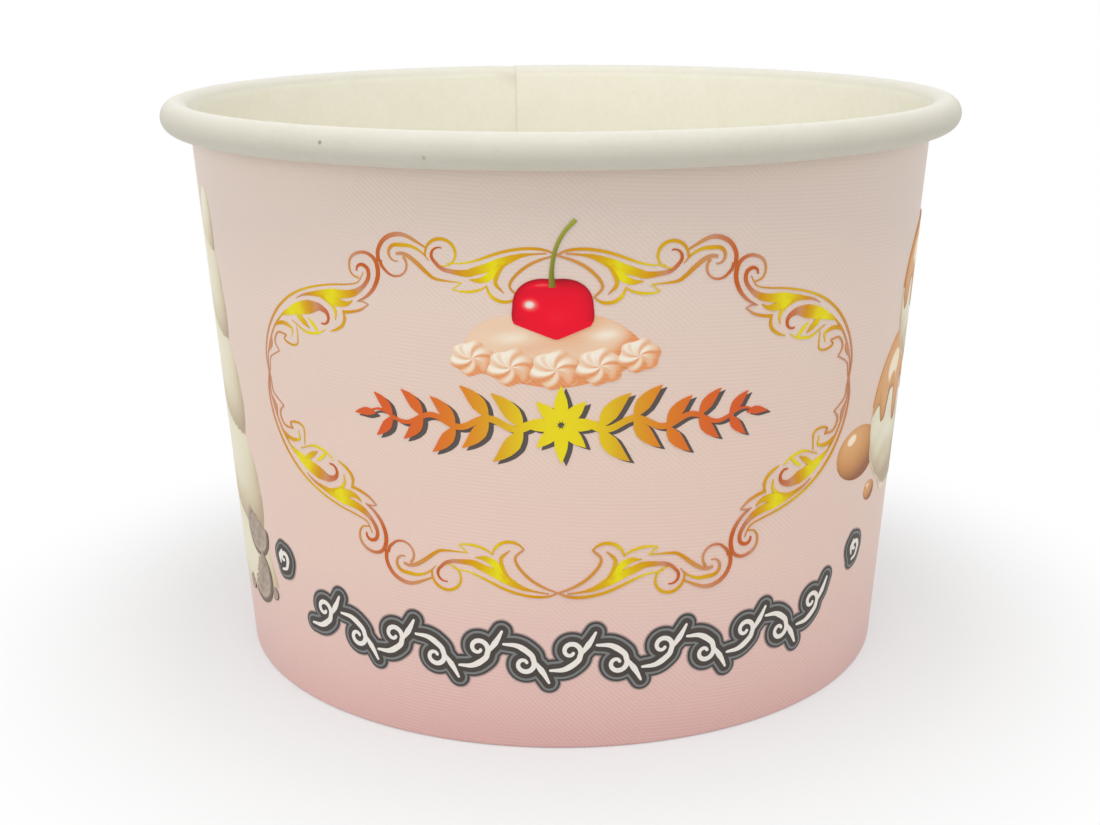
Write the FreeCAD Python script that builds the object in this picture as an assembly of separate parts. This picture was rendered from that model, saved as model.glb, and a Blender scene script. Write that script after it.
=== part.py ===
"""Paper dessert cup: a tapered tub of coated board, made of two blanks.

The side wall is one sheet, wrapped round and glued in a lap at the back. Its top edge is
rolled outwards into a hollow bead, and its bottom edge is folded in and up into a hem.
The base is a disc whose edge is turned down into a skirt. The hem grips that skirt.

Millimetres, +Z up. The origin is the centre of the foot, on the plane that the cup stands
on. The printed front faces -Y, and the glued lap is at the back.
"""
import FreeCAD
import Part

import math
import os

# Overall sizes
rim_diameter = 96.0
foot_diameter = 81.0
cup_height = 68.0

# Board of the two blanks
wall_board = 0.4
base_board = 0.36

# Rolled bead at the mouth. Its edge comes round to the wall, short of it by the clearance
bead_radius = 1.85
bead_clearance = 0.05

# Folded hem at the foot. Its inner creases are pressed sharp
hem_height = 5.6
skirt_clearance = 0.02

# Base disc
floor_rise = 7.0
knuckle_radius = 0.9
skirt_bottom = 0.9

# Glued lap of the side wall. Its bearing, from +X towards +Y, is where the inner layer ends
lap_width = 8.0
lap_ramp = 3.4
lap_bearing = 98.5

UP = FreeCAD.Vector(0, 0, 1)
CENTRE = FreeCAD.Vector(0, 0, 0)
TOUCHING = 1e-7

lap_board = 2 * wall_board
foot_radius = foot_diameter / 2
hem_gap = base_board + 2 * skirt_clearance
bead_centre = FreeCAD.Vector(rim_diameter / 2 - bead_radius, 0, cup_height - bead_radius)


def wall_slope():
    """The wall's angle from upright, so that it rises from the foot and meets the bead."""
    across = bead_centre.x - foot_radius
    reach = math.hypot(across, bead_centre.z)
    return math.acos((bead_radius - wall_board) / reach) - math.atan2(bead_centre.z, across)


slope = wall_slope()
along = FreeCAD.Vector(math.sin(slope), 0, math.cos(slope))
outward = FreeCAD.Vector(math.cos(slope), 0, -math.sin(slope))
inner_foot = FreeCAD.Vector(foot_radius, 0, 0) - outward * wall_board
outward_angle = -math.degrees(slope)


def on_wall(depth, height):
    """The point at that depth outside the wall's inner face, and at that height."""
    start = inner_foot + outward * depth
    return start + along * ((height - start.z) / along.z)


def arc(centre, radius, start, sweep):
    """Three points on an arc in the section plane. A negative sweep runs clockwise."""
    turns = [math.radians(start + sweep * share) for share in (0, 0.5, 1)]
    return [
        centre + FreeCAD.Vector(math.cos(turn), 0, math.sin(turn)) * radius for turn in turns
    ]


def sheet_face(*stops):
    """The section of a sheet as a face, from the stops all round it.

    A stop is three points on an arc, or one point alone. Straight runs join the stops.
    """
    edges = []
    here = stops[-1][-1]
    for stop in stops:
        if here.distanceToPoint(stop[0]) > TOUCHING:
            edges.append(Part.LineSegment(here, stop[0]).toShape())
        if len(stop) > 1:
            edges.append(Part.Arc(*stop).toShape())
        here = stop[-1]
    return Part.Face(Part.Wire(edges))


def wall_face(inner, outer):
    """The side wall's section between two depths, from the hem's edge to the bead's edge."""
    reach = math.degrees(math.acos((lap_board + bead_clearance) / bead_radius - 1))
    roll = -180 - reach
    hem_edge = on_wall(-hem_gap, hem_height)
    return sheet_face(
        [hem_edge - outward * inner],
        [on_wall(-hem_gap - inner, outer - inner)],
        [on_wall(inner, outer - inner)],
        arc(bead_centre, bead_radius - inner, outward_angle + 180, roll),
        arc(bead_centre, bead_radius - outer, outward_angle + 180 + roll, -roll),
        arc(on_wall(0, outer), outer, outward_angle, -90 - outward_angle),
        arc(on_wall(-hem_gap, outer), outer, -90, outward_angle - 90),
        [hem_edge - outward * outer],
    )


def turned(shape, bearing):
    """A copy of the shape, turned about the cup's axis."""
    copy = shape.copy()
    copy.rotate(CENTRE, UP, bearing)
    return copy


def side_wall():
    """The wrapped sheet: its single layer, its glued lap, and the ramp between them."""
    lap_sweep = math.degrees(lap_width / foot_radius)
    ramp_sweep = math.degrees(lap_ramp / foot_radius)
    ramp_end = lap_bearing + ramp_sweep
    first_layer = wall_face(0, wall_board)
    second_layer = wall_face(wall_board, lap_board)
    both_layers = wall_face(0, lap_board)
    single = turned(first_layer, ramp_end).revolve(CENTRE, UP, 360 - ramp_sweep - lap_sweep)
    lap = turned(both_layers, lap_bearing).revolve(CENTRE, UP, -lap_sweep)
    ramp_ends = [turned(second_layer, lap_bearing), turned(first_layer, ramp_end)]
    ramp = Part.makeLoft([face.OuterWire for face in ramp_ends], True, True)
    return single.fuse([lap, ramp]).removeSplitter()


def base_disc():
    """The base: a flat floor, a rounded knuckle, and a skirt that lies against the wall."""
    floor_top = floor_rise + base_board
    knuckle = on_wall(-skirt_clearance - knuckle_radius, floor_top - knuckle_radius)
    skirt_edge = on_wall(-skirt_clearance, skirt_bottom)
    face = sheet_face(
        [FreeCAD.Vector(0, 0, floor_rise)],
        [FreeCAD.Vector(0, 0, floor_top)],
        arc(knuckle, knuckle_radius, 90, outward_angle - 90),
        [skirt_edge],
        [skirt_edge - outward * base_board],
        arc(knuckle, knuckle_radius - base_board, outward_angle, 90 - outward_angle),
    )
    return face.revolve(CENTRE, UP, 360)


os.makedirs("parts", exist_ok=True)
for name, shape in (("side_wall", side_wall()), ("base_disc", base_disc())):
    solid = shape.Solids[0]
    print(name, len(shape.Solids), solid.isValid(), round(solid.Volume, 3), len(solid.Faces))
    solid.exportStep(os.path.join("parts", name + ".step"))
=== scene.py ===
import math

import bmesh
import bpy
import numpy as np
from mathutils import Matrix, Vector


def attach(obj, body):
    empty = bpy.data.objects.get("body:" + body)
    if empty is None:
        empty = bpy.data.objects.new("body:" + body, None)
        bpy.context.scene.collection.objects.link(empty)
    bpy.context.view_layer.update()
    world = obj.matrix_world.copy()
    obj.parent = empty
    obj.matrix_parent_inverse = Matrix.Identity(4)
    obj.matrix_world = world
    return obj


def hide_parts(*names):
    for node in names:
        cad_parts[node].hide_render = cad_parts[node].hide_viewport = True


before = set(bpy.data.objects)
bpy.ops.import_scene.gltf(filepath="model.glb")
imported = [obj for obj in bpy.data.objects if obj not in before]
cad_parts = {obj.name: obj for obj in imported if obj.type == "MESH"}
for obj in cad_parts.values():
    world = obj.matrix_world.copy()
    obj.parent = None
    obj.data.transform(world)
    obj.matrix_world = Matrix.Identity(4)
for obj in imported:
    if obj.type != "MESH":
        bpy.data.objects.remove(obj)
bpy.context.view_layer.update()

# The side wall. One sheet of coated board, printed on its outer face and white on its inner
# face. It is wrapped into a tapered tube and glued in a lap at the back. Its top edge is
# rolled outwards into a bead, and its bottom edge is folded in and up into a hem.
MM = 0.001
RIM_DIAMETER = 96.0
FOOT_DIAMETER = 81.0
CUP_HEIGHT = 68.0
BOARD = 0.4
BEAD_RADIUS = 1.85
BEAD_CLEARANCE = 0.05
HEM_HEIGHT = 5.6
HEM_GAP = 0.4
LAP_WIDTH = 8.0
LAP_RAMP = 3.4
LAP_BEARING = 98.5
PRESSED_LAP = 0.35
BOTH_LAYERS = 2 * BOARD
WALL_STATIONS = 480
RAMP_STATIONS = 8
ROLL_STEPS = 46
ROLL_INSIDE_STEPS = 20
WALL_STEPS = 14
FOLD_STEPS = 7
CREASE_DEGREES = 38
TOUCHING = 1e-7

bead_across = RIM_DIAMETER / 2 - BEAD_RADIUS
bead_up = CUP_HEIGHT - BEAD_RADIUS
flare = bead_across - FOOT_DIAMETER / 2
reach = math.hypot(flare, bead_up)
slope = math.acos((BEAD_RADIUS - BOARD) / reach) - math.atan2(bead_up, flare)
outward = np.array([math.cos(slope), -math.sin(slope)])
along = np.array([math.sin(slope), math.cos(slope)])


def on_wall(depth, height):
    """Distance from the axis and height of a point, by its depth outside the inner face."""
    start = np.array([FOOT_DIAMETER / 2, 0.0]) + outward * (depth - BOARD)
    return start + along * ((height - start[1]) / along[1])


def bend(centre, radius, start, end, steps):
    """Points along an arc in the section, between two angles in radians."""
    turn = np.linspace(start, end, steps)[:, None]
    return np.array(centre) + radius * np.hstack([np.cos(turn), np.sin(turn)])


def wall_section(inner, outer):
    """The sheet's section between two depths: its inner face, then back down its outer face.

    Where the lap is rolled into the bead, its step is pressed down to a share of its height.
    """
    bead = np.array([bead_across, bead_up])
    start = math.pi - slope
    end = -slope - math.acos((BOTH_LAYERS + BEAD_CLEARANCE) / BEAD_RADIUS - 1)
    hem_edge = on_wall(-HEM_GAP, HEM_HEIGHT)
    hem_crease = on_wall(-HEM_GAP - inner, outer - inner)
    wall_crease = on_wall(inner, outer - inner)
    roll = bend(bead, BEAD_RADIUS - inner * PRESSED_LAP, start, end, ROLL_STEPS)
    roll_inside = bend(bead, BEAD_RADIUS - outer, end, start, ROLL_INSIDE_STEPS)
    rise = np.linspace(wall_crease, roll[0], WALL_STEPS)[1:-1]
    fold = bend(on_wall(0, outer), outer, -slope, -math.pi / 2, FOLD_STEPS)
    fall = np.linspace(roll_inside[-1], fold[0], WALL_STEPS)[1:-1]
    hem_fold = bend(on_wall(-HEM_GAP, outer), outer, -math.pi / 2, -math.pi - slope, FOLD_STEPS)
    face_in = np.vstack([hem_edge - outward * inner, hem_crease, wall_crease, rise, roll])
    face_out = np.vstack([roll_inside, fall, fold, hem_fold, hem_edge - outward * outer])
    return face_in, face_out


def in_scene(name, data):
    """A new object in the scene, from its mesh, lamp or camera."""
    made = bpy.data.objects.new(name, data)
    bpy.context.scene.collection.objects.link(made)
    return made


def new_piece(name, points, faces):
    """A mesh object from points in millimetres."""
    mesh = bpy.data.meshes.new(name)
    mesh.from_pydata([tuple(point) for point in np.array(points) * MM], [], faces)
    return in_scene(name, mesh)


def face_outwards(mesh, merged=False):
    """Turns the faces outwards. With merged, points that touch become one first."""
    shape = bmesh.new()
    shape.from_mesh(mesh)
    if merged:
        bmesh.ops.remove_doubles(shape, verts=shape.verts, dist=TOUCHING)
        bmesh.ops.dissolve_degenerate(shape, edges=shape.edges, dist=TOUCHING)
    bmesh.ops.recalc_face_normals(shape, faces=shape.faces)
    shape.to_mesh(mesh)
    shape.free()


def finished_mesh(name, points, faces, finishes, slots):
    """A piece that is smooth but for its creases, with a finish for each face."""
    piece = new_piece(name, points, faces)
    mesh = piece.data
    mesh.polygons.foreach_set("material_index", slots)
    mesh.polygons.foreach_set("use_smooth", [True] * len(faces))
    face_outwards(mesh, merged=True)
    mesh.set_sharp_from_angle(angle=math.radians(CREASE_DEGREES))
    for finish in finishes:
        mesh.materials.append(finish)
    return piece


class Value:
    """One socket of a material's nodes. Arithmetic on it adds Math nodes."""

    def __init__(self, socket):
        self.socket = socket

    def node(self, kind, inputs=(), output=0, **settings):
        """The output of a new node of that kind, its settings and stops set before its inputs."""
        tree = self.socket.id_data
        made = tree.nodes.new("ShaderNode" + kind)
        stops = settings.pop("stops", ())
        for name, setting in settings.items():
            setattr(made, name, setting)
        for index, (place, colour) in enumerate(stops):
            ends = made.color_ramp.elements
            stop = ends[index] if index < 2 else ends.new(place)
            stop.position = place
            stop.color = colour
        for name, value in dict(inputs).items():
            if isinstance(value, Value):
                tree.links.new(value.socket, made.inputs[name])
            else:
                made.inputs[name].default_value = value
        return Value(made.outputs[output])

    def maths(self, operation, *others):
        return self.node("Math", dict(enumerate((self, *others))), operation=operation)

    def __add__(self, other):
        return self.maths("ADD", other)

    def __sub__(self, other):
        return self.maths("SUBTRACT", other)

    def __mul__(self, other):
        return self.maths("MULTIPLY", other)

    def __rsub__(self, other):
        return (self * -1) + other

    __radd__ = __add__
    __rmul__ = __mul__

    def wave(self):
        return self.maths("SINE")

    def between(self, low, high):
        """0 below low and 1 above high, with a soft step between them."""
        ends = {"Value": self, "From Min": low, "From Max": high}
        return self.node("MapRange", ends, interpolation_type="SMOOTHSTEP")

    def colour(self, *stops):
        """A colour from this number, through stops: a place and the colour painted there."""
        painted = [(place, paint(*colour)) for place, colour in stops]
        return self.node("ValToRGB", {"Fac": self}, stops=painted)


def paint(red, green, blue):
    """A colour from its 0 to 255 values on a screen, as the linear light that a shader takes."""
    shares = [value / 255 for value in (red, green, blue)]
    return (*[s / 12.92 if s <= 0.04045 else ((s + 0.055) / 1.055) ** 2.4 for s in shares], 1.0)


# A Mix node's sockets for colours have the same names as its others, so they go by number
MIX_FACTOR, MIX_FIRST, MIX_SECOND = 0, 6, 7
MIX_RESULT = 2


def mixed(factor, first, second, blend_type="MIX"):
    """Two colours mixed by a factor. At least one of the three is a Value."""
    lead = next(item for item in (factor, first, second) if isinstance(item, Value))
    colours = {MIX_FACTOR: factor, MIX_FIRST: first, MIX_SECOND: second}
    return lead.node("Mix", colours, MIX_RESULT, data_type="RGBA", blend_type=blend_type)


def noise(place, scale, detail=3.0, roughness=0.5):
    """Fractal noise from 0 to 1, at so many grains in a metre."""
    grains = {"Vector": place, "Scale": scale, "Detail": detail, "Roughness": roughness}
    return place.node("TexNoise", grains)


def new_finish(name, **constants):
    """A material, its shader with some constants set, and its place on the object."""
    material = bpy.data.materials.new(name)
    material.use_nodes = True
    shader = material.node_tree.nodes["Principled BSDF"]
    for socket, setting in constants.items():
        shader.inputs[socket.replace("_", " ")].default_value = setting
    where = material.node_tree.nodes.new("ShaderNodeTexCoord")
    return material, shader, Value(where.outputs["Object"])


def feed(shader, **values):
    """Links values to the shader's sockets."""
    for socket, value in values.items():
        shader.id_data.links.new(value.socket, shader.inputs[socket.replace("_", " ")])


def relief(height, depth_mm):
    """A normal from a height between 0 and 1, that deep in millimetres."""
    return height.node("Bump", {"Height": height, "Distance": depth_mm * MM, "Strength": 1.0})


# The radius at which the print's places are measured round the wall
PRINT_RADIUS = 42.3
# How the ground's colour drifts up and down the wall, and how much sooner it fades at the sides
GROUND_DRIFT = 5.0
SIDE_LIFT = 6.0
# The printing screen: the distance between its lines, and which way each set of them runs
SCREEN_PITCH = 0.42
SCREEN_LINES = ((0.06, 1.0), (0.68, 0.72))
# Radii over which painted shade greys the rolled bead towards its outer side, and flecks in it by
# place and darkness
ROLL_SHADE_STARTS = 44.3
ROLL_SHADE_ENDS = 47.9
FLECKS = (((-23.5, -41.75, 66.6), 0.6), ((-13.0, -46.1, 65.6), 0.3))
FLECK_CORE = 0.1
FLECK_EDGE = 0.3


def across_and_up(place):
    """Millimetres round the wall from the middle of the front, and up from the foot."""
    parts = place.node("SeparateXYZ", {"Vector": place}).socket.node.outputs
    right, back, height = [Value(parts[name]) for name in "XYZ"]
    return right.maths("ARCTAN2", back * -1) * PRINT_RADIUS, height * (1 / MM)


def screen(place):
    """The print's fine screen of lines, level in some patches and slanting in the others."""
    across, up = across_and_up(place)
    turn = 2 * math.pi / SCREEN_PITCH
    level, slant = [((up * rise + across * run) * turn).wave() for run, rise in SCREEN_LINES]
    patches = noise(place, 90.0).between(0.35, 0.65)
    return level * (1 - patches) * 0.5 + slant * patches * 0.5 + 0.5


def printed_board():
    """The printed outer face: beige under the rim and darkened just below the bead by painted
    shade, pale pink in the middle, rose at the foot.
    """
    material, shader, place = new_finish("printed_board", Specular_IOR_Level=0.35)
    across, up = across_and_up(place)
    drift = (noise(place, 26.0) - 0.5) * GROUND_DRIFT
    to_side = (across * (1 / PRINT_RADIUS)).wave()
    lifted = up + drift + to_side * to_side * SIDE_LIFT
    # Print, but for the darker band a little below the rim, which is painted shade from the bead.
    ground_with_rim_shade = (lifted * (1 / CUP_HEIGHT)).colour(
        (0.0, (214, 167, 162)),
        (1.0, (224, 207, 194)),
        (0.06, (218, 176, 169)),
        (0.16, (223, 187, 178)),
        (0.32, (226, 196, 183)),
        (0.55, (224, 199, 184)),
        (0.75, (223, 201, 188)),
        (0.88, (216, 198, 186)),
    )
    fibres = noise(place, 1600.0, 2.0)
    grain = screen(place) * 0.6 + fibres * 0.4
    feed(
        shader,
        Base_Color=mixed(grain.between(0.2, 0.8) * 0.16, ground_with_rim_shade, paint(250, 232, 222)),
        Roughness=grain * 0.16 + 0.36,
        Normal=relief(grain, 0.006),
    )
    return material


def white_board():
    """The unprinted face: white coated board with a faint mottle, and painted shade that greys the
    bead towards its outer side.

    Two small flecks lie in the coating of the bead.
    """
    material, shader, place = new_finish("white_board", Specular_IOR_Level=0.25)
    mottle = noise(place, 220.0) * 0.5 + noise(place, 1400.0, 2.0) * 0.5
    board = mottle.colour((0.3, (236, 232, 215)), (0.7, (241, 238, 224)))
    for spot, dark in FLECKS:
        middle = tuple(value * MM for value in spot)
        away = place.node("VectorMath", {0: place, 1: middle}, "Value", operation="DISTANCE")
        fleck = 1 - away.between(FLECK_CORE * MM, FLECK_EDGE * MM)
        board = mixed(fleck * dark, board, paint(104, 100, 88))
    flat = place.node("VectorMath", {0: place, 1: (1.0, 1.0, 0.0)}, operation="MULTIPLY")
    radius = flat.node("VectorMath", {0: flat}, "Value", operation="LENGTH")
    # Painted shade: the bead is greyed, most of all on its outer, lower side.
    rolled_shade = ((radius - ROLL_SHADE_STARTS * MM) * (1 / (ROLL_SHADE_ENDS - ROLL_SHADE_STARTS) / MM)).colour(
        (0.0, (255, 255, 255)),
        (1.0, (216, 215, 214)),
        (0.08, (232, 232, 231)),
        (0.35, (233, 234, 237)),
        (0.6, (235, 235, 238)),
    )
    feed(
        shader,
        Base_Color=mixed(1.0, board, rolled_shade, "MULTIPLY"),
        Roughness=mottle * 0.2 + 0.42,
        Normal=relief(mottle, 0.008),
    )
    return material


def cut_edge():
    """The board's cut edge: bare pulp, with its layers and loose fibres."""
    material, shader, place = new_finish("cut_edge", Roughness=0.9)
    fibres = noise(place, 3000.0, 4.0, 0.7)
    feed(
        shader,
        Base_Color=fibres.colour((0.25, (205, 196, 178)), (0.75, (236, 230, 214))),
        Normal=relief(fibres, 0.02),
    )
    return material


PRINTED, WHITE, CUT = 0, 1, 2
printed, white, cut = printed_board(), white_board(), cut_edge()


def wall_stations():
    """The sheet's depths at each bearing round the cup, with two stations at each step."""
    lap_sweep = math.degrees(LAP_WIDTH / (FOOT_DIAMETER / 2))
    ramp_sweep = math.degrees(LAP_RAMP / (FOOT_DIAMETER / 2))
    lap_start = LAP_BEARING + 360 - lap_sweep
    for bearing in np.linspace(LAP_BEARING + ramp_sweep, lap_start, WALL_STATIONS):
        yield bearing, 0.0, BOARD
    for bearing in np.linspace(lap_start, LAP_BEARING + 360, RAMP_STATIONS * 2):
        yield bearing, 0.0, BOTH_LAYERS
    for share in np.linspace(0, 1, RAMP_STATIONS, endpoint=False):
        layer = BOARD * (1 - share)
        yield LAP_BEARING + 360 + ramp_sweep * share, layer, layer + BOARD


def side_wall():
    """The whole sheet, as its section carried round the cup from station to station."""
    stations = list(wall_stations())
    points = []
    for bearing, inner, outer in stations:
        face_in, face_out = wall_section(inner, outer)
        turn = math.radians(bearing)
        section = np.vstack([face_in, face_out])
        points += [(r * math.cos(turn), r * math.sin(turn), z) for r, z in section]
    count, count_in = len(section), len(face_in)
    faces, slots = [], []
    for here, station in enumerate(stations):
        there = (here + 1) % len(stations)
        at_step = abs(stations[there][0] % 360 - station[0] % 360) < TOUCHING
        for low in range(count):
            high = (low + 1) % count
            corners = [(here, low), (there, low), (there, high), (here, high)]
            faces.append([ring * count + spot for ring, spot in corners])
            free_edge = low in (count_in - 1, count - 1)
            slots.append(CUT if at_step or free_edge else WHITE if low < count_in else PRINTED)
    return finished_mesh("side_wall_sheet", points, faces, [printed, white, cut], slots)


wall = side_wall()
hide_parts("side_wall")
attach(wall, "root")

# The base. A disc of white coated board with its edge turned down into a skirt, which the
# hem of the side wall grips.
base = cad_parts["base_disc"]
base.data.materials.clear()
base.data.materials.append(white)

# The frame. Gold scrollwork printed in ink on the front, in eight runs from four knots on the
# oval to the four joints where two curls meet. It is yellow on its leaves, brown at its sides
# and red at its joints. The blank was printed a little askew.
TOP_KNOT = (0.0, 55.75)
BOTTOM_KNOT = (0.0, 19.0)
SIDE_KNOT = (35.5, 39.5)
UPPER_JOINT = (17.7, 54.25)
LOWER_JOINT = (19.2, 22.15)
FRAME_SHIFT = -0.4
FRAME_LEAN = -0.011
# How far ink stands out of the wall and reaches into it, and how far each stroke or shape of
# a print lies over the one before, so that no two faces share a place
INK_PROUD = 0.02
INK_DEEP = 0.02
STROKE_LAYER = 0.0008
SHAPE_LAYER = 0.012
SPAN_STEPS = 8
SPIRAL_STEPS = 36
END_STEPS = 6
END_BLUNT = 0.1


def smooth_path(*points):
    """A smooth line through the points. Each span leans with the points on both sides of it."""
    given = np.array(points, float)
    padded = np.vstack([2 * given[0] - given[1], given, 2 * given[-1] - given[-2]])
    t = np.linspace(0, 1, SPAN_STEPS, endpoint=False)[:, None]
    spans = []
    for before, here, there, after in zip(padded, padded[1:], padded[2:], padded[3:]):
        squared = 2 * before - 5 * here + 4 * there - after
        cubed = 3 * here - before - 3 * there + after
        spans.append(0.5 * (2 * here + (there - before) * t + squared * t**2 + cubed * t**3))
    return np.vstack(spans + [given[-1:]])


def curl(*points, side, radius, turns, eye):
    """A smooth line that runs on into a spiral, to the left for side 1 and the right for -1.

    The spiral winds in from its radius to its eye, which is a share of the radius.
    """
    line = smooth_path(*points)
    ahead = line[-1] - line[-2]
    to_side = math.atan2(ahead[1], ahead[0]) + side * math.pi / 2
    t = np.linspace(0, 1, int(SPIRAL_STEPS * turns) + 3)[1:]
    turn = to_side + math.pi + side * 2 * math.pi * turns * t
    radii = radius * (1 - (1 - eye) * t)
    centre = line[-1] + radius * np.array([math.cos(to_side), math.sin(to_side)])
    spiral = centre + radii[:, None] * np.column_stack([np.cos(turn), np.sin(turn)])
    return np.vstack([line, spiral])


def spread_along(line, values):
    """Values given at even distances along a line, at each of its points."""
    reached = np.r_[0, np.cumsum(np.linalg.norm(np.diff(line, axis=0), axis=1))]
    return np.interp(reached / reached[-1], np.linspace(0, 1, len(values)), values)[:, None]


def stroke(line, widths, border=0.0):
    """A line's two edges, from its widths in millimetres at even distances along it.

    With a border, the stroke is wider by that much all round, and its ends are round.
    """
    ahead = np.gradient(line, axis=0)
    ahead /= np.linalg.norm(ahead, axis=1)[:, None]
    half = spread_along(line, widths) / 2 + border
    if border:
        turn = np.linspace(0, math.pi / 2 - END_BLUNT, END_STEPS + 1)[1:, None]
        first = line[0] - ahead[0] * half[0] * np.sin(turn[::-1])
        last = line[-1] + ahead[-1] * half[-1] * np.sin(turn)
        line = np.vstack([first, line, last])
        half = np.vstack([half[0] * np.cos(turn[::-1]), half, half[-1] * np.cos(turn)])
        ahead = np.pad(ahead, ((END_STEPS, END_STEPS), (0, 0)), mode="edge")
    to_left = np.column_stack([-ahead[:, 1], ahead[:, 0]])
    return np.stack([line + to_left * half, line - to_left * half], axis=1)


def ink(name, sheets, finish, proud=INK_PROUD, closed=False):
    """A print on the wall, as thin closed sheets of ink, each over the one before.

    A sheet is a grid of places (across, up) and a grid of tones. It is closed where its last
    column joins its first.
    """
    points, faces, tones = [], [], []
    step = SHAPE_LAYER if closed else STROKE_LAYER
    for layer, (grid, tone) in enumerate(sheets):
        rows, columns = grid.shape[:2]
        first = len(points)
        for lift in (proud + step * layer, -INK_DEEP):
            radius = FOOT_DIAMETER / 2 + grid[..., 1] * math.tan(slope) + lift
            bearing = grid[..., 0] / PRINT_RADIUS
            places = [radius * np.sin(bearing), -radius * np.cos(bearing), grid[..., 1]]
            points += np.stack(places, axis=-1).reshape(-1, 3).tolist()
            tones += np.broadcast_to(tone, (rows, columns)).ravel().tolist()
        top = np.arange(rows * columns).reshape(rows, columns) + first
        under = top + rows * columns
        if closed:
            top = np.hstack([top, top[:, :1]])
            under = np.hstack([under, under[:, :1]])
        for skin, facing in ((top, 1), (under, -1)):
            cells = np.stack([skin[:-1, :-1], skin[1:, :-1], skin[1:, 1:], skin[:-1, 1:]], axis=-1)
            faces += cells.reshape(-1, 4)[:, ::facing].tolist()
        edges = [(top[0], under[0]), (top[-1, ::-1], under[-1, ::-1])]
        if not closed:
            edges += [(top[::-1, 0], under[::-1, 0]), (top[:, -1], under[:, -1])]
        for upper, lower in edges:
            cells = np.stack([upper[:-1], upper[1:], lower[1:], lower[:-1]], axis=-1)
            faces += cells.tolist()
    piece = new_piece(name, points, faces)
    piece.data.attributes.new("tone", "FLOAT", "POINT").data.foreach_set("value", tones)
    piece.data.materials.append(finish)
    face_outwards(piece.data)
    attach(piece, "root")
    return piece


def ink_finish(name, *stops, hatch=0.0):
    """Printing ink whose colour runs with the print's tone, with a share of the fine screen."""
    material, shader, place = new_finish(name, Roughness=0.48, Specular_IOR_Level=0.22)
    tone = place.node("Attribute", output="Fac", attribute_name="tone")
    colour = tone.colour(*stops)
    if hatch:
        colour = mixed(screen(place) * hatch, colour, paint(240, 214, 202))
    feed(shader, Base_Color=colour)
    return material


gold_ink = ink_finish(
    "gold_ink",
    (0.0, (194, 93, 27)),
    (1.0, (232, 224, 14)),
    (0.2, (201, 141, 104)),
    (0.4, (208, 143, 10)),
    (0.66, (216, 172, 4)),
)


def drawn(*points, widths, tones, **spiral):
    """A stroke of a run: its line, which may run on into a spiral, its widths and its tones.

    Its points are in shares of the run's length: along the run, and outwards from it.
    """
    return curl(*points, **spiral) if spiral else smooth_path(*points), widths, tones


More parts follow.
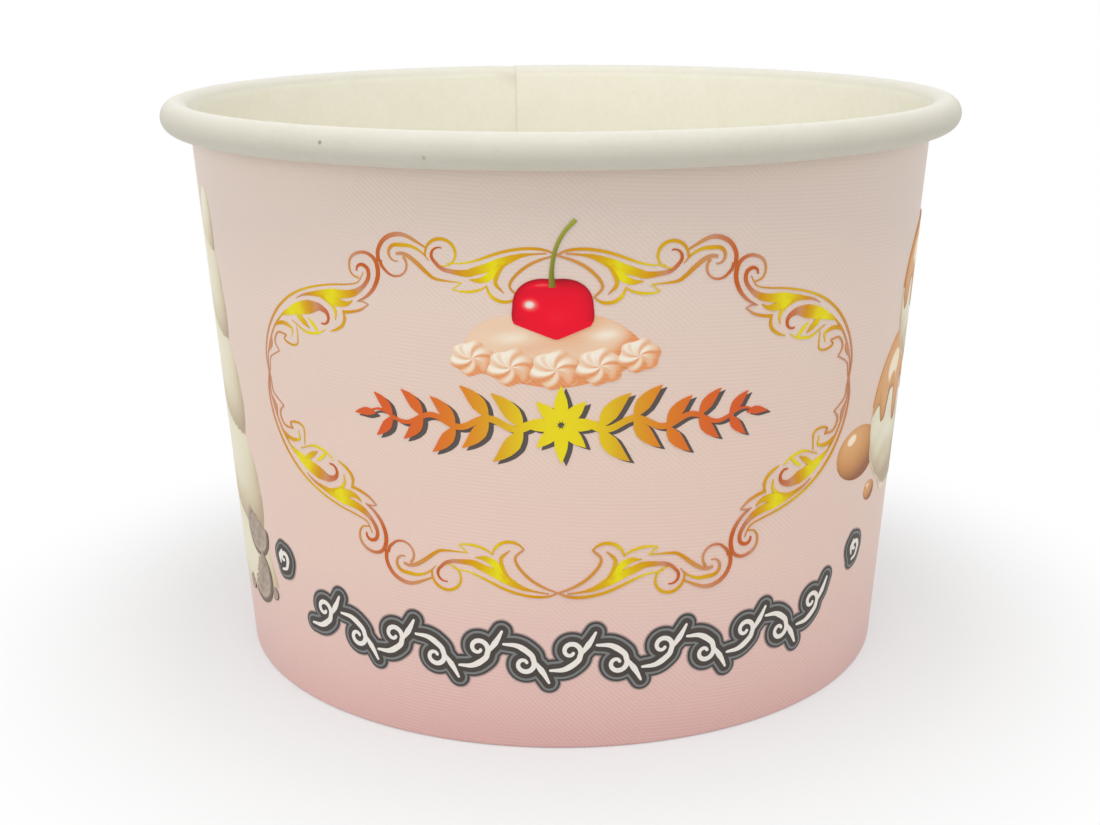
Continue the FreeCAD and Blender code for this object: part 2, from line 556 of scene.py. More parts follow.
CREST_RUN = [
    # The high arc from the joint, and the open ring at its foot
    drawn(
        (1.01, 0.0), (1.005, 0.06), (0.975, 0.112), (0.93, 0.145), (0.87, 0.158), (0.81, 0.143),
        (0.715, 0.08),
        widths=(0.43, 0.43, 0.47, 0.47, 0.34, 0.17), tones=(0, 0.03, 0.12, 0.27, 0.38),
    ),
    drawn(
        (0.721, 0.03), (0.718, 0.052),
        side=1, radius=0.095, turns=0.8, eye=0.7,
        widths=(0.17, 0.34, 0.34, 0.21, 0.1), tones=(0.4, 0.5, 0.6, 0.7, 0.8),
    ),
    # The curl under the joint
    drawn(
        (1.0, 0.01), (0.992, -0.025), (0.968, -0.058),
        side=-1, radius=0.078, turns=0.5, eye=0.84,
        widths=(0.39, 0.26, 0.21, 0.3), tones=(0, 0.06, 0.2, 0.3),
    ),
    # The inner arc with its small curl, and the tail that leaves that curl
    drawn(
        (0.7, 0.0), (0.74, 0.052), (0.8, 0.088), (0.885, 0.098),
        side=-1, radius=0.055, turns=0.52, eye=0.75,
        widths=(0.07, 0.26, 0.43, 0.34, 0.13), tones=(0.27, 0.66, 0.6, 0.3, 0.2),
    ),
    drawn(
        (0.895, 0.045), (0.86, 0.047), (0.82, 0.03), (0.77, -0.015), (0.72, -0.07),
        (0.67, -0.105), (0.53, -0.13),
        widths=(0.3, 0.47, 0.47, 0.34, 0.17, 0.1), tones=(0.2, 0.27, 0.36, 0.42, 0.5, 0.8),
    ),
    # The leaf, which ends in a curl, its low lobe and the tendril that hangs from it
    drawn(
        (0.05, 0.014), (0.15, 0.014), (0.22, 0.003), (0.34, -0.038), (0.45, -0.066),
        (0.5, -0.076), (0.6, -0.058), (0.646, -0.034), (0.676, 0.004),
        side=1, radius=0.048, turns=0.42, eye=0.9,
        widths=(0.15, 0.2, 0.6, 1.1, 0.9, 0.8, 0.5, 0.4, 0.3, 0.12),
        tones=(0.27, 0.45, 0.62, 0.95, 0.7, 0.45, 0.12, 0, 0),
    ),
    drawn(
        (0.3, -0.03), (0.34, -0.07), (0.38, -0.105), (0.43, -0.12), (0.485, -0.113),
        widths=(0.3, 0.7, 0.8, 0.55, 0.08), tones=(0.7, 0.95, 0.95, 0.7, 0.6),
    ),
    drawn(
        (0.26, -0.02), (0.3, -0.055), (0.33, -0.1), (0.34, -0.145), (0.3, -0.2),
        widths=(0.09, 0.34, 0.43, 0.34, 0.06), tones=(0.5, 0.62, 0.66, 0.55, 0.27),
    ),
    # The lines over and under the leaf
    drawn(
        (0, 0), (0.05, 0.03), (0.12, 0.046), (0.2, 0.048), (0.3, 0.034), (0.48, -0.014),
        (0.6, -0.015),
        widths=(0.17, 0.3, 0.3, 0.3, 0.26, 0.17, 0.09),
        tones=(0.26, 0.42, 0.5, 0.55, 0.66, 0.85, 0.8),
    ),
    drawn(
        (0, 0), (0.08, -0.018), (0.15, -0.045), (0.21, -0.085), (0.253, -0.13), (0.264, -0.17),
        (0.225, -0.222),
        widths=(0.17, 0.29, 0.33, 0.29, 0.17), tones=(0.23, 0.33, 0.36, 0.36, 0.32),
    ),
    # The two scallops under the leaf, and the barb at their end
    drawn(
        (0.225, -0.222), (0.26, -0.244), (0.3, -0.25), (0.345, -0.236), (0.38, -0.2),
        (0.394, -0.15),
        widths=(0.1, 0.3, 0.36, 0.33, 0.13), tones=(0.4, 0.55, 0.65, 0.8, 0.6),
    ),
    drawn(
        (0.395, -0.155), (0.43, -0.173), (0.49, -0.183), (0.55, -0.177), (0.587, -0.165),
        widths=(0.13, 0.28, 0.24, 0.1), tones=(0.7, 0.85),
    ),
    drawn(
        (0.587, -0.165), (0.558, -0.148), (0.53, -0.13),
        widths=(0.1, 0.13, 0.1), tones=(0.8, 0.85),
    ),
]
SIDE_RUN = [
    # The outer line and the one inside it, with a small leaf between them
    drawn(
        (0, 0), (0.05, 0.07), (0.12, 0.122), (0.2, 0.157), (0.3, 0.178), (0.4, 0.179),
        (0.5, 0.162), (0.6, 0.126), (0.7, 0.075), (0.78, 0.024), (0.84, -0.004), (0.895, 0.012),
        widths=(0.13, 0.23, 0.27, 0.28, 0.27, 0.23, 0.2, 0.15, 0.08),
        tones=(0.2, 0.2, 0.25, 0.4, 0.55, 0.7, 0.6, 0.4, 0.4),
    ),
    drawn(
        (0, -0.01), (0.05, 0.05), (0.1, 0.083), (0.16, 0.111), (0.23, 0.132), (0.3, 0.14),
        (0.37, 0.14),
        widths=(0.1, 0.16, 0.2, 0.23, 0.13), tones=(0.2, 0.2, 0.21, 0.4, 0.7),
    ),
    drawn(
        (0.17, 0.113), (0.135, 0.086), (0.085, 0.072),
        widths=(0.09, 0.52, 0.09), tones=(0.2, 0.2),
    ),
    # The low line to its barb, the crook over the barb, and the hook
    drawn(
        (0, -0.01), (0.03, 0.01), (0.06, 0.035), (0.09, 0.045), (0.168, 0.028),
        widths=(0.08, 0.15, 0.16, 0.16), tones=(0.2, 0.2, 0.2, 0.23),
    ),
    drawn(
        (0.168, 0.028), (0.168, 0.065), (0.18, 0.085), (0.21, 0.097), (0.24, 0.093),
        (0.278, 0.055),
        widths=(0.13, 0.23, 0.23, 0.23, 0.2), tones=(0.21, 0.26, 0.29, 0.31),
    ),
    drawn(
        (0.278, 0.055), (0.25, 0.05), (0.262, 0.02), (0.29, -0.008), (0.325, -0.012),
        (0.375, 0.045),
        widths=(0.16, 0.23, 0.22, 0.16, 0.07), tones=(0.32, 0.42, 0.5, 0.6, 0.66),
    ),
    # The tendril before the first leaf
    drawn(
        (0.24, 0.133), (0.28, 0.122), (0.31, 0.102), (0.33, 0.075), (0.337, 0.05),
        (0.305, 0.028),
        widths=(0.17, 0.43, 0.43, 0.26, 0.07), tones=(0.4, 0.45, 0.55, 0.75, 0.8),
    ),
    # The first leaf, which ends in a curl, and the spurs inside it
    drawn(
        (0.33, 0.138), (0.38, 0.123), (0.43, 0.108), (0.48, 0.086), (0.53, 0.06), (0.57, 0.034),
        (0.587, 0.006),
        side=-1, radius=0.037, turns=0.5, eye=0.85,
        widths=(0.2, 0.9, 1.4, 1.5, 0.75, 0.35, 0.15), tones=(0.66, 0.95, 0.9, 0.45, 0.12, 0, 0),
    ),
    drawn(
        (0.42, 0.1), (0.43, 0.06), (0.445, -0.008),
        widths=(0.3, 0.7, 0.6, 0.05), tones=(0.9, 0.7, 0.5),
    ),
    drawn(
        (0.37, 0.085), (0.385, 0.05), (0.4, 0.015), (0.42, -0.015), (0.475, -0.052),
        (0.53, -0.065),
        widths=(0.07, 0.17, 0.3, 0.26, 0.06), tones=(0.5, 0.7, 0.85, 0.9, 0.8),
    ),
    drawn(
        (0.472, 0.035), (0.478, 0.0), (0.48, -0.03), (0.475, -0.055),
        widths=(0.09, 0.39, 0.39, 0.17), tones=(0.9,),
    ),
    # The two scallops under the second leaf, and the barb at their end
    drawn(
        (0.545, -0.085), (0.59, -0.1), (0.63, -0.102), (0.66, -0.086), (0.68, -0.052),
        widths=(0.07, 0.3, 0.34, 0.34, 0.13), tones=(0.6, 0.45),
    ),
    drawn(
        (0.675, -0.06), (0.71, -0.082), (0.76, -0.104), (0.815, -0.11),
        widths=(0.34, 0.3, 0.26, 0.1), tones=(0.5, 0.36, 0.2),
    ),
    drawn(
        (0.815, -0.11), (0.8, -0.085), (0.775, -0.065),
        widths=(0.1, 0.15, 0.09), tones=(0.2,),
    ),
    # The wide curl at the joint
    drawn(
        (0.775, -0.066), (0.83, -0.077), (0.89, -0.07), (0.945, -0.042), (0.978, 0.0),
        (0.983, 0.04), (0.962, 0.077), (0.92, 0.098), (0.88, 0.095), (0.85, 0.068),
        (0.842, 0.035), (0.86, 0.005),
        widths=(0.09, 0.34, 0.43, 0.47, 0.34, 0.3, 0.21, 0.13),
        tones=(0.12, 0.12, 0, 0, 0.06, 0.2, 0.34, 0.4),
    ),
    # The second leaf, which ends inside the wide curl, its tendril and its low lobe
    drawn(
        (0.475, 0.142), (0.53, 0.127), (0.59, 0.095), (0.64, 0.062), (0.69, 0.032),
        (0.74, -0.004), (0.79, -0.028), (0.85, -0.034), (0.9, -0.02), (0.925, 0.012),
        (0.915, 0.042), (0.892, 0.05), (0.872, 0.038),
        widths=(0.05, 0.25, 0.45, 0.9, 1.05, 0.9, 0.75, 0.42, 0.4, 0.4, 0.15),
        tones=(0.2, 0.27, 0.5, 0.8, 0.95, 0.7, 0.42, 0.12, 0.03, 0, 0),
    ),
    drawn(
        (0.6, 0.085), (0.63, 0.045), (0.645, 0.005), (0.64, -0.035), (0.61, -0.063),
        widths=(0.17, 0.47, 0.47, 0.34, 0.07), tones=(0.6, 0.72, 0.8, 0.7),
    ),
    drawn(
        (0.64, 0.05), (0.67, 0.005), (0.7, -0.03), (0.73, -0.047), (0.757, -0.049),
        widths=(0.4, 1.0, 0.9, 0.5, 0.08), tones=(0.9, 0.95, 0.75, 0.6, 0.5),
    ),
]


def leaned(across, up):
    """A place in the frame, moved as the printed blank lies."""
    return np.array([across + FRAME_SHIFT, up + FRAME_LEAN * across])


def run_of(strokes, start, end, above):
    """A run's strokes between two places, with their tones.

    Outwards is up for above 1, and down for above -1.
    """
    length = np.linalg.norm(end - start)
    ahead = (end - start) / length
    aside = np.array([-ahead[1], ahead[0]])
    if aside[1] * above < 0:
        aside = -aside
    for line, widths, tones in strokes:
        placed = start + length * (line[:, :1] * ahead + line[:, 1:] * aside)
        yield stroke(placed, widths), spread_along(line, tones)


def gold_frame():
    sheets = []
    for side in (-1, 1):
        edge = leaned(side * SIDE_KNOT[0], SIDE_KNOT[1])
        for knot, joint, above in ((TOP_KNOT, UPPER_JOINT, 1), (BOTTOM_KNOT, LOWER_JOINT, -1)):
            turn = leaned(side * joint[0], joint[1])
            sheets += run_of(CREST_RUN, leaned(*knot), turn, above)
            sheets += run_of(SIDE_RUN, edge, turn, above)
    return ink("gold_frame", sheets, gold_ink)


gold_frame()

# The cherry on its cream. A red cherry with a bent stem, printed in ink as if half sunk in a
# peach mound, with a row of piped cream in front. The light in the pictures is at the upper
# left.
CHERRY_PLACE = (-0.75, 50.4)
CHERRY_HALF = (4.05, 3.2)
CREAM_PLACE = (-0.9, 46.0)
CREAM_HALF = (8.6, 4.1)
# Each piped star by its place and its half height
PIPED_STARS = (
    (-8.8, 44.9, 1.8),
    (-4.9, 44.1, 1.9),
    (-0.5, 43.9, 2.0),
    (3.9, 44.2, 1.9),
    (7.8, 45.2, 1.7),
)
PIPED_BREADTH = 1.25
PIPED_RIDGES = 6
PIPED_TWIST = 4.5
STEM_WIDTHS = (0.62, 0.42, 0.38, 0.38, 0.45)
LIGHT = (-0.42, 0.56, 0.71)
PINHOLE = 0.003
PIPED_PROUD = 0.035
CHERRY_PROUD = 0.1
STEM_PROUD = 0.12


def disc(place, half, outline, tone, rings, spokes):
    """A round shape as rings round a pinhole, with its outline and tone as functions."""
    turns = np.linspace(0, 2 * math.pi, spokes, endpoint=False)
    ring, turn = np.meshgrid(np.linspace(PINHOLE, 1, rings), turns, indexing="ij")
    radius = ring * outline(turn)
    across = np.cos(turn) * radius
    up = np.sin(turn) * radius
    grid = np.stack([place[0] + half[0] * across, place[1] + half[1] * up], axis=-1)
    return grid, tone(ring, across, up)


def bump(across, up, place, spread):
    """1 at a place and falling to 0 round it."""
    return np.exp(-((across - place[0]) ** 2 + (up - place[1]) ** 2) / spread**2)


def lit(relief_at, across, up, near=0.01):
    """Tones of a relief in the pictures' light, from its height as a function of the place."""
    to_right = (relief_at(across + near, up) - relief_at(across - near, up)) / (2 * near)
    to_top = (relief_at(across, up + near) - relief_at(across, up - near)) / (2 * near)
    facing = LIGHT[2] - LIGHT[0] * to_right - LIGHT[1] * to_top
    return np.clip(facing / np.sqrt(1 + to_right**2 + to_top**2), 0, 1)


def ball(across, up):
    """The height of a ball of radius 1, kept just above 0 at its edge."""
    return np.sqrt(np.clip(1.04 - across**2 - up**2, 0.004, None))


def mound_outline(turn):
    return 1 + 0.05 * np.cos(2 * turn) + 0.03 * np.cos(5 * turn + 1)


def mound_relief(across, up):
    """Whipped cream: a low dome with folds that sweep round the cherry."""
    folds = np.sin(5.2 * np.hypot(across * 1.3, up - 0.9) + 1.6 * across)
    ripple = np.sin(9 * across - 5 * up)
    return 0.5 * ball(across * 0.97, up * 0.97) + 0.085 * folds + 0.014 * ripple


def mound_tone(ring, across, up):
    """The mound's shade, with paler cream on both sides of the cherry."""
    left_cream = 0.42 * bump(across / 1.7, up, (-0.2, 0.28), 0.2)
    right_cream = 0.36 * bump(across / 1.6, up, (0.36, 0.38), 0.16)
    shade = 0.85 * lit(mound_relief, across, up) - 0.22
    return np.clip(shade + left_cream + right_cream, 0, 1)


cream_ink = ink_finish(
    "cream_ink",
    (0.0, (226, 146, 88)),
    (1.0, (248, 242, 226)),
    (0.35, (232, 186, 148)),
    (0.65, (236, 206, 176)),
    hatch=0.12,
)
mound = disc(CREAM_PLACE, CREAM_HALF, mound_outline, mound_tone, rings=26, spokes=96)
ink("cream_mound", [mound], cream_ink, closed=True)


def piped_outline(turn):
    return 1 + 0.08 * np.cos(PIPED_RIDGES * turn + PIPED_TWIST)


def piped_relief(across, up):
    """A piped star of cream: ridges that wind in and up to the middle."""
    radius = np.hypot(across, up)
    turn = np.arctan2(up, across)
    ridges = radius * np.cos(PIPED_RIDGES * turn + PIPED_TWIST * radius)
    return 0.75 * ball(across * 0.98, up * 0.98) + 0.14 * ridges


def piped_tone(ring, across, up):
    return np.clip(1.05 * lit(piped_relief, across, up) - 0.08, 0, 1)


def piped_star(across, up, size):
    half = (size * PIPED_BREADTH, size)
    return disc((across, up), half, piped_outline, piped_tone, rings=22, spokes=72)


piped = [piped_star(*star) for star in PIPED_STARS]
ink("piped_cream", piped, cream_ink, PIPED_PROUD, closed=True)


def cherry_outline(turn):
    """Round shoulders, a shallow dimple on top, and a low point where the cream hides it."""
    top = 0.05 * np.exp(-(((turn - math.pi / 2) / 0.3) ** 2))
    left_cream = 0.9 / np.clip(np.cos(turn - math.radians(243)), 0.1, None)
    right_cream = 0.96 / np.clip(np.cos(turn - math.radians(299)), 0.1, None)
    whole = 1 - 0.03 * np.cos(4 * turn) - top + 0.06 * np.clip(-2.5 * np.sin(turn), 0, 1)
    return np.minimum(whole, np.minimum(left_cream, right_cream))


def cherry_tone(ring, across, up):
    """Bright in its middle and dark at its rim, with a lit arch by the stem and one shine."""
    body = 0.44 + 0.12 * bump(across, up, (0.1, -0.3), 0.8)
    rim = 0.3 * ring**9 * (up > -0.45)
    over_arch = up - 0.74 + 0.5 * (across + 0.2) ** 2
    arch = 0.34 * np.exp(-((over_arch / 0.07) ** 2)) * bump(across, 0 * up, (-0.22, 0), 0.3)
    hollow = 0.16 * bump(across / 2, up, (0.08, 0.8), 0.2)
    shine = 0.6 * bump(across, up, (-0.56, 0.1), 0.16)
    return np.clip(body - rim + arch - hollow + shine, 0, 1)


cherry_ink = ink_finish(
    "cherry_ink",
    (0.0, (120, 0, 20)),
    (1.0, (240, 226, 222)),
    (0.3, (206, 0, 34)),
    (0.55, (240, 0, 42)),
    (0.75, (240, 96, 90)),
)
cherry = disc(CHERRY_PLACE, CHERRY_HALF, cherry_outline, cherry_tone, rings=22, spokes=120)
ink("cherry", [cherry], cherry_ink, CHERRY_PROUD, closed=True)

stem_ink = ink_finish("stem_ink", (0.0, (98, 104, 22)), (1.0, (172, 176, 66)))
stem_line = smooth_path((-0.8, 52.5), (-0.85, 54.2), (-0.5, 56.3), (0.3, 58.0), (1.4, 59.3))
up_the_stem = np.linspace(0.1, 0.7, len(stem_line))[:, None]
left_and_right = np.array([[0.25, -0.1]])
stem_tone = np.clip(up_the_stem + left_and_right, 0, 1)
ink("cherry_stem", [(stroke(stem_line, STEM_WIDTHS), stem_tone)], stem_ink, STEM_PROUD)

# The leaf garland. It fills the oval's middle: leaves on a wavy stalk and a rosette, printed
# in the frame's colours, with a dark shadow printed under them to their right.
GARLAND_UP = 38.0
GARLAND_STARTS = 3.2
GARLAND_ENDS = 20.5
WAVE_HEIGHT = 0.55
WAVE_RATE = 1.05
STALK_STEPS = 60
STALK_WIDTHS = (0.75, 0.7, 0.55, 0.2)
LEAF_PAIRS = 5
FIRST_LEAF = 3.9
LEAF_PITCH = 3.5
LEAF_LEAN = 0.95
LEAF_LENGTH = 4.9
LEAF_WIDTH = 1.75
LEAF_SHRINK = 0.09
LEAF_STEPS = 13
TIP_OVERLAP = 0.6
TIP_LENGTH = 2.6
TIP_WIDTH = 0.9
PETALS = 8
PETAL_STARTS = 0.3
LONG_PETAL = 3.9
SHORT_PETAL = 3.2
PETAL_WIDTH = 1.45
YELLOW_REACH = 10.0
SHADOW_SHIFT = (0.5, -0.28)
LEAVES_PROUD = 0.08


def leaf(root, lean, length, width, bend_over=0.5):
    """A pointed leaf that bends over as it goes out, as one stroke."""
    reached = np.linspace(0, 1, LEAF_STEPS + 1)
    over = -math.copysign(bend_over, math.cos(lean) * math.sin(lean))
    heading = lean + over * (reached - 0.3)
    steps = length / LEAF_STEPS * np.column_stack([np.cos(heading), np.sin(heading)])
    line = np.array(root) + np.vstack([[0, 0], np.cumsum(steps[:-1], axis=0)])
    return stroke(line, (0.15, width * 0.7, width, width * 0.85, width * 0.5, 0.06))


def stalk_up(out):
    """The height of the garland's wavy stalk, that far out from its middle."""
    return GARLAND_UP + WAVE_HEIGHT * np.sin(out * WAVE_RATE)


def garland():
    """The garland's strokes: the stalk, the leaves in pairs, and the rosette's petals."""
    for side in (-1, 1):
        outs = np.linspace(GARLAND_STARTS, GARLAND_ENDS, STALK_STEPS)
        yield stroke(np.column_stack([side * outs, stalk_up(outs)]), STALK_WIDTHS)
        for index in range(LEAF_PAIRS):
            out = FIRST_LEAF + LEAF_PITCH * index
            shrink = 1 - LEAF_SHRINK * index
            for lean in (LEAF_LEAN, -LEAF_LEAN):
                turned = lean if side > 0 else math.pi - lean
                root = (side * out, stalk_up(out))
                yield leaf(root, turned, LEAF_LENGTH * shrink, LEAF_WIDTH * shrink)
        tip = (side * (GARLAND_ENDS - TIP_OVERLAP), GARLAND_UP)
        yield leaf(tip, 0.0 if side > 0 else math.pi, TIP_LENGTH, TIP_WIDTH)
    for petal in range(PETALS):
        turn = 2 * math.pi / PETALS * petal
        root = (PETAL_STARTS * math.cos(turn), GARLAND_UP + PETAL_STARTS * math.sin(turn))
        length = LONG_PETAL if petal % 2 == 0 else SHORT_PETAL
        yield leaf(root, turn, length, PETAL_WIDTH, bend_over=0.0)


def yellow_inside(grid):
    """A tone that is 1 in the middle of the front and falls towards both sides."""
    return np.exp(-((grid[..., 0] / YELLOW_REACH) ** 2))


leaves = list(garland())
shadow_ink = ink_finish("shadow_ink", (0.0, (84, 76, 74)), (1.0, (96, 88, 84)))
ink("garland_shadow", [(grid + np.array(SHADOW_SHIFT), 0.3) for grid in leaves], shadow_ink)
leaf_ink = ink_finish(
    "leaf_ink",
    (0.0, (214, 88, 40)),
    (1.0, (232, 214, 24)),
    (0.35, (220, 130, 34)),
    (0.7, (218, 170, 30)),
)
ink("leaf_garland", [(grid, yellow_inside(grid)) for grid in leaves], leaf_ink, LEAVES_PROUD)

# The vine band. A running vine of pale curls, printed below the oval over four darker inks
# that make its bevelled ground, with a small curl past each end.
BAND_HALF = 33.4
BAND_UP = 11.3
BAND_RISE = 1.3
VINE_CURLS = 13
FIRST_CURL = 1.2
CURL_PITCH = 5.15
CURL_RADIUS = 1.15
CURL_EYE = 0.3
CURL_WIDTHS = (0.2, 0.6, 0.5, 0.45, 0.3)
TENDRIL_WIDTHS = (0.2, 0.6, 0.2)
END_MARKS = ((-37.2, 16.9), (40.6, 17.1))
END_RADIUS = 0.85
END_CURL_WIDTHS = (0.2, 0.5, 0.3)
END_DASH_WIDTHS = (0.2, 0.5, 0.2)
# Each ink of the band by its name, its border round the vine, how proud it is and its colour
BAND_INKS = (
    ("band_blur", 1.3, 0.02, (170, 148, 142)),
    ("band_edge", 1.14, 0.06, (70, 68, 68)),
    ("band_bevel", 0.9, 0.1, (126, 128, 126)),
    ("band_ground", 0.62, 0.14, (74, 68, 64)),
    ("vine", 0.04, 0.18, (236, 230, 222)),
)


def band_up(across):
    """The band's height round the wall. It rises a little towards its ends."""
    return BAND_UP + BAND_RISE * (across / BAND_HALF) ** 4


def vine_curl(start, up):
    """One curl of the vine, and the tendril that leaves it on the same side."""
    middle = band_up(start + CURL_PITCH / 2)

    def at(across, rise):
        return start + across, middle + rise * up

    points = [at(0.0, -1.5), at(1.6, -1.35), at(3.0, -0.4), at(3.35, 0.4)]
    yield curl(*points, side=up, radius=CURL_RADIUS, turns=0.95, eye=CURL_EYE), CURL_WIDTHS
    yield smooth_path(at(3.2, 0.2), at(4.3, 1.7), at(5.0, 3.0)), TENDRIL_WIDTHS


def end_mark(across, up):
    """The mark past an end of the band: a small curl, and a dash beside it."""
    points = [(across - 0.4, up - 1.2), (across + 0.5, up - 0.9), (across + 0.9, up)]
    yield curl(*points, side=1, radius=END_RADIUS, turns=0.8, eye=CURL_EYE), END_CURL_WIDTHS
    dash = [(across - 0.7, up - 0.4), (across - 0.8, up + 0.4), (across - 0.3, up + 1.2)]
    yield smooth_path(*dash), END_DASH_WIDTHS


vine = []
for index in range(VINE_CURLS):
    vine += vine_curl(-BAND_HALF + FIRST_CURL + CURL_PITCH * index, 1 if index % 2 == 0 else -1)
for place in END_MARKS:
    vine += end_mark(*place)
for name, border, proud, shade in BAND_INKS:
    band_ink = ink_finish(name, (0.0, shade), (1.0, shade))
    ink(name, [(stroke(line, widths, border), 0.5) for line, widths in vine], band_ink, proud)

# The side pictures. Soft ice cream in a swirl on the left, with broken biscuit at its foot,
# and scoops under caramel sauce on the right. They are printed in ink as soft shapes, like
# the cream.
SWIRL_MIDDLE = -53.0
SWIRL_LOW = 9.5
SWIRL_HIGH = 59.0
SWIRL_HALF = 13.6
SWIRL_TURNS = 4.4
SWIRL_ROWS = 180
SWIRL_COLUMNS = 45
PICTURE_FLATTENED = 0.9
BISCUIT_FLATTENED = 0.92
# Each run of the sauce by its place, its length and its width, in shares of a scoop's radius
SAUCE_RUNS = ((-0.66, 0.3, 0.12), (-0.16, 0.5, 0.14), (0.3, 0.22, 0.11), (0.7, 0.34, 0.12))
SAUCE_DEEP = 0.12
SAUCE_HALF = 0.985
SAUCE_ROWS = 36
SAUCE_COLUMNS = 140
# Each scoop by its place, its radius and how far its sauce's runs are moved sideways
SCOOPS = ((65.0, 33.6, 9.6, 0.1), (52.6, 32.4, 10.8, 0.0), (58.2, 45.4, 9.8, -0.16))
# Each drop of sauce by its place and its half width and half height
DROPS = (((39.2, 29.4), (4.6, 3.4)), ((43.6, 23.6), (1.5, 1.3)), ((73.6, 25.4), (2.2, 2.0)))
# Each biscuit by its place, its radius, the share kept at the break, and where the break is
BISCUITS = (
    (-44.6, 18.4, 3.5, 0.5, 1.2),
    (-45.4, 12.6, 4.0, 0.2, 2.6),
    (-62.8, 12.6, 4.3, 0.35, 0.3),
)
CRUMBS = ((-40.9, 11.4, 0.9), (-49.4, 10.2, 1.1), (-67.6, 10.9, 1.0))
CRUMB_KEPT = 0.5
SCOOP_LAYER = 0.03
DROPS_PROUD = 0.03
BISCUITS_PROUD = 0.08

side_cream_ink = ink_finish(
    "side_cream_ink",
    (0.0, (180, 158, 132)),
    (1.0, (242, 238, 216)),
    (0.4, (214, 200, 170)),
    (0.72, (231, 224, 198)),
)
caramel_ink = ink_finish(
    "caramel_ink",
    (0.0, (150, 92, 56)),
    (1.0, (250, 232, 204)),
    (0.5, (206, 146, 88)),
    (0.85, (224, 172, 116)),
)
biscuit_ink = ink_finish("biscuit_ink", (0.0, (112, 98, 88)), (1.0, (186, 168, 150)))


def glossy(light):
    """The tones of something wet: as it is lit, with a sharp shine where it is lit most."""
    return np.clip(0.82 * light + 0.5 * np.clip((light - 0.965) / 0.03, 0, 1), 0, 1)


def swirl_shape(up):
    """A swirl's share of its height, its half width and its middle, at a height."""
    share = np.clip((up - SWIRL_LOW) / (SWIRL_HIGH - SWIRL_LOW), 0, 1)
    half = SWIRL_HALF * (1 - share) ** 0.54 * (1 - 0.1 * share) + 0.25
    return share, half, SWIRL_MIDDLE + 3.4 * share**7


def coil(share, side):
    """How high the coil stands: 0 in a groove and 1 at its crown."""
    turns = SWIRL_TURNS * (0.8 * share + 0.2 * share**2) + 0.3 * side - 0.2 * side**2 + 0.25
    return 1 - np.abs(2 * (turns % 1) - 1) ** 2.2


def swirl_relief(across, up):
    share, half, middle = swirl_shape(up)
    side = np.clip((across - middle) / half, -1, 1)
    return 0.6 * half * np.sqrt(1.08 - side**2) + (4.2 - 2.6 * share) * coil(share, side)


def swirl():
    """The swirl as one sheet, its sides scalloped where the coils come round."""
    levels, sides = np.linspace(0, 1, SWIRL_ROWS), np.linspace(-1, 1, SWIRL_COLUMNS)
    level, side = np.meshgrid(levels, sides, indexing="ij")
    bowed = SWIRL_LOW + 3.0 * side**2 * (1 - level) ** 3
    up = bowed + (SWIRL_HIGH - SWIRL_LOW) * level
    share, half, middle = swirl_shape(up)
    across = middle + side * half * (0.84 + 0.16 * coil(share, side))
    return np.stack([across, up], axis=-1), lit(swirl_relief, across, up, near=0.05)


def scoop_relief(across, up):
    """A ball with the uneven ripples that the scoop drags in it."""
    drag = np.sin(8 * up + 2.4 * np.sin(1.7 * across + 0.6) + 0.9 * np.sin(5 * across + 3 * up))
    torn = np.sin(13 * up + 3 * across + 2 * np.sin(4 * across)) * np.sin(6 * across - 2 * up)
    return ball(across, up) + 0.026 * drag + 0.018 * torn


def ruffled(turn):
    """A scoop's outline: round on top, and spread into a ruffle along its foot."""
    foot = np.clip(-np.sin(turn) - 0.1, 0, 1)
    return 1 + foot * (0.08 + 0.04 * np.sin(9 * turn) + 0.025 * np.sin(16 * turn + 1))


def scoop_tone(ring, across, up):
    return np.clip(lit(scoop_relief, across, up) + 0.04, 0, 1)


def scoop(place, radius):
    half = (radius, radius * PICTURE_FLATTENED)
    return disc(place, half, ruffled, scoop_tone, rings=34, spokes=128)


def sauce(place, radius, shift):
    """Sauce over a scoop's top as one sheet, with its runs moved sideways by the shift."""

    def edge(across):
        runs = 0
        for at, length, width in SAUCE_RUNS:
            runs = runs + length * np.exp(-(((across - at - shift) / width) ** 4))
        return 0.3 * np.sqrt(np.clip(1 - across**2, 0, 1)) - runs

    def sauce_relief(across, up):
        thick = np.sqrt(np.clip((up - edge(across)) / 0.2, 0, 1))
        return ball(across, up) + SAUCE_DEEP * thick

    levels = np.linspace(0, 1, SAUCE_ROWS)
    places = np.linspace(-SAUCE_HALF, SAUCE_HALF, SAUCE_COLUMNS)
    level, across = np.meshgrid(levels, places, indexing="ij")
    up = edge(across) * (1 - level) + 1.03 * np.sqrt(1 - across**2) * level
    right = place[0] + radius * across
    height = place[1] + radius * PICTURE_FLATTENED * up
    return np.stack([right, height], axis=-1), glossy(lit(sauce_relief, across, up))


def drop_outline(turn):
    return 1 + 0.05 * np.cos(2 * turn + 0.6)


def drop_tone(ring, across, up):
    return glossy(lit(ball, across, up))


def biscuit_relief(across, up):
    """A thin biscuit: a raised rim, and crumb in its middle."""
    radius = np.hypot(across, up)
    coarse = np.sin(7 * across + 3 * up) * np.sin(8 * up - 3 * across + 1)
    fine = np.sin(13 * across + 2 * np.sin(9 * up)) * np.sin(12 * up + 2 * np.sin(8 * across))
    rim = 0.1 * np.exp(-(((radius - 0.84) / 0.1) ** 2))
    return rim + 0.03 * (coarse + 0.5 * fine) - 0.3 * radius**14


def biscuit_tone(ring, across, up):
    return lit(biscuit_relief, across, up)


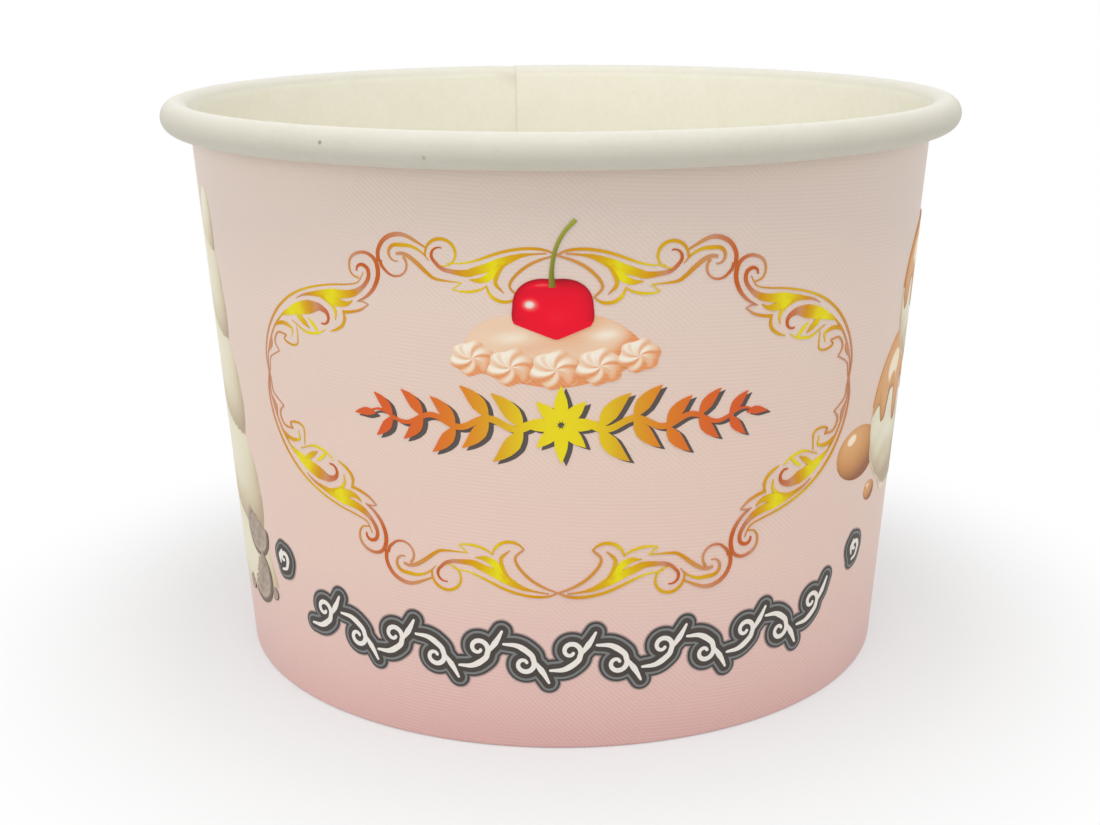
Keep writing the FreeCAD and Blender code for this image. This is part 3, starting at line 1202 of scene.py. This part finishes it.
def broken_biscuit(across, up, radius, kept, heading):
    """A round biscuit with one side broken off. What is kept there is a share of the radius."""

    def outline(turn):
        toward = np.cos(turn - heading)
        ragged = kept + 0.05 * np.sin(9 * turn) + 0.03 * np.sin(23 * turn)
        return np.where(toward > 0.05, np.minimum(1, ragged / np.clip(toward, 0.05, None)), 1)

    half = (radius, radius * BISCUIT_FLATTENED)
    return disc((across, up), half, outline, biscuit_tone, rings=26, spokes=96)


for index, (across, up, radius, shift) in enumerate(SCOOPS):
    proud = INK_PROUD + 2 * index * SCOOP_LAYER
    ice_cream = scoop((across, up), radius)
    ink(f"scoop_{index + 1}", [ice_cream], side_cream_ink, proud, closed=True)
    caramel = sauce((across, up), radius, shift)
    ink(f"caramel_{index + 1}", [caramel], caramel_ink, proud + SCOOP_LAYER)
drops = [disc(*drop, drop_outline, drop_tone, rings=22, spokes=64) for drop in DROPS]
ink("caramel_drops", drops, caramel_ink, DROPS_PROUD, closed=True)
ink("swirl", [swirl()], side_cream_ink)
biscuits = [broken_biscuit(*biscuit) for biscuit in BISCUITS]
for across, up, radius in CRUMBS:
    # A crumb's place also turns its break, so that no two look alike
    biscuits.append(broken_biscuit(across, up, radius, CRUMB_KEPT, heading=across))
ink("biscuits", biscuits, biscuit_ink, BISCUITS_PROUD, closed=True)

# The stage. A plain pale floor of matt paint under large soft lamps, which shows white but keeps
# the cup's shadow, and has painted shade in a ring round the foot where it shows less of its white
# glow.
FLOOR_REACH = 4.0
FLOOR_PAINT = paint(215, 215, 215)
WHITE_LIGHT = paint(255, 255, 255)
GLOW_IN_PAINTED_SHADE = 0.4
GLOW_RISES = 0.042
GLOW_FULL = 0.085
SKY_LIGHT = 0.58


def seen_directly(value):
    """1 for the camera's rays and for those that gloss or glass sends on, else 0."""
    rays = value.node("LightPath").socket.node.outputs
    seen = [Value(rays[name]) for name in ("Is Camera Ray", "Is Glossy Ray", "Is Transmission Ray")]
    return seen[0].maths("MAXIMUM", seen[1]).maths("MAXIMUM", seen[2])


def floor_finish():
    """Pale matt paint that the camera, gloss and glass see partly as plain white light, less so
    near the cup, which paints shade round the foot.
    """
    material, shader, place = new_finish("floor_paint", Roughness=0.9, Base_Color=FLOOR_PAINT)
    glow = place.node("Emission", {"Color": WHITE_LIGHT, "Strength": 1.0})
    # Painted shade: near the foot the floor shows less white glow, so it darkens there besides its
    # real shadow.
    from_middle = place.node("VectorMath", {0: place}, "Value", operation="LENGTH")
    away = from_middle.between(GLOW_RISES, GLOW_FULL)
    share = seen_directly(place) * (away * (1 - GLOW_IN_PAINTED_SHADE) + GLOW_IN_PAINTED_SHADE)
    surface = share.node("MixShader", {0: share, 1: Value(shader.outputs["BSDF"]), 2: glow})
    tree = material.node_tree
    tree.links.new(surface.socket, tree.nodes["Material Output"].inputs["Surface"])
    return material


corners = np.array([(-1, -1, 0), (1, -1, 0), (1, 1, 0), (-1, 1, 0)]) * FLOOR_REACH / MM
floor = finished_mesh("floor", corners, [(0, 1, 2, 3)], [floor_finish()], [0])


def softbox(name, place, size, power):
    """A square lamp with soft light, turned towards the middle of the cup."""
    lamp = bpy.data.lights.new(name, "AREA")
    lamp.size = size
    lamp.energy = power
    holder = in_scene(name, lamp)
    holder.location = place
    middle = Vector((0, 0, CUP_HEIGHT / 2 * MM))
    holder.rotation_euler = (middle - Vector(place)).to_track_quat("-Z", "Y").to_euler()


softbox("overhead_lamp", place=(0.0, -0.28, 0.88), size=0.7, power=4.5)
softbox("front_lamp", place=(-0.2, -0.85, 0.3), size=0.7, power=0.8)
softbox("right_lamp", place=(0.8, -0.35, 0.4), size=0.6, power=1.0)
softbox("left_lamp", place=(-0.8, -0.3, 0.4), size=0.6, power=1.5)

world = bpy.data.worlds.new("studio")
world.use_nodes = True
bpy.context.scene.world = world
sky = world.node_tree.nodes["Background"]
sky.inputs["Color"].default_value = WHITE_LIGHT
strength = seen_directly(Value(sky.inputs["Strength"])) * (1 - SKY_LIGHT) + SKY_LIGHT
world.node_tree.links.new(strength.socket, sky.inputs["Strength"])

# The camera. It stands in front of the cup and a little above its rim, as the photographer's
# did. Its place and angles come from the outlines of the rim, wall and foot in the photograph.
CAMERA_PLACE = (0.0, -0.1977, 0.0844)
CAMERA_TILT = 0.2833
CAMERA_PAN = -0.0073
CAMERA_ROLL = -0.0057
LENS = 51.8
SENSOR_WIDTH = 36.0
NEAREST_SEEN = 0.01

camera = bpy.data.cameras.new("camera")
camera.lens = LENS
camera.sensor_width = SENSOR_WIDTH
camera.clip_start = NEAREST_SEEN
holder = in_scene("camera", camera)
turns = (
    Matrix.Rotation(-CAMERA_PAN, 4, "Z")
    @ Matrix.Rotation(math.pi / 2 - CAMERA_TILT, 4, "X")
    @ Matrix.Rotation(CAMERA_ROLL, 4, "Z")
)
holder.matrix_world = Matrix.Translation(CAMERA_PLACE) @ turns
bpy.context.scene.camera = holder
bpy.context.scene.view_settings.view_transform = "Standard"
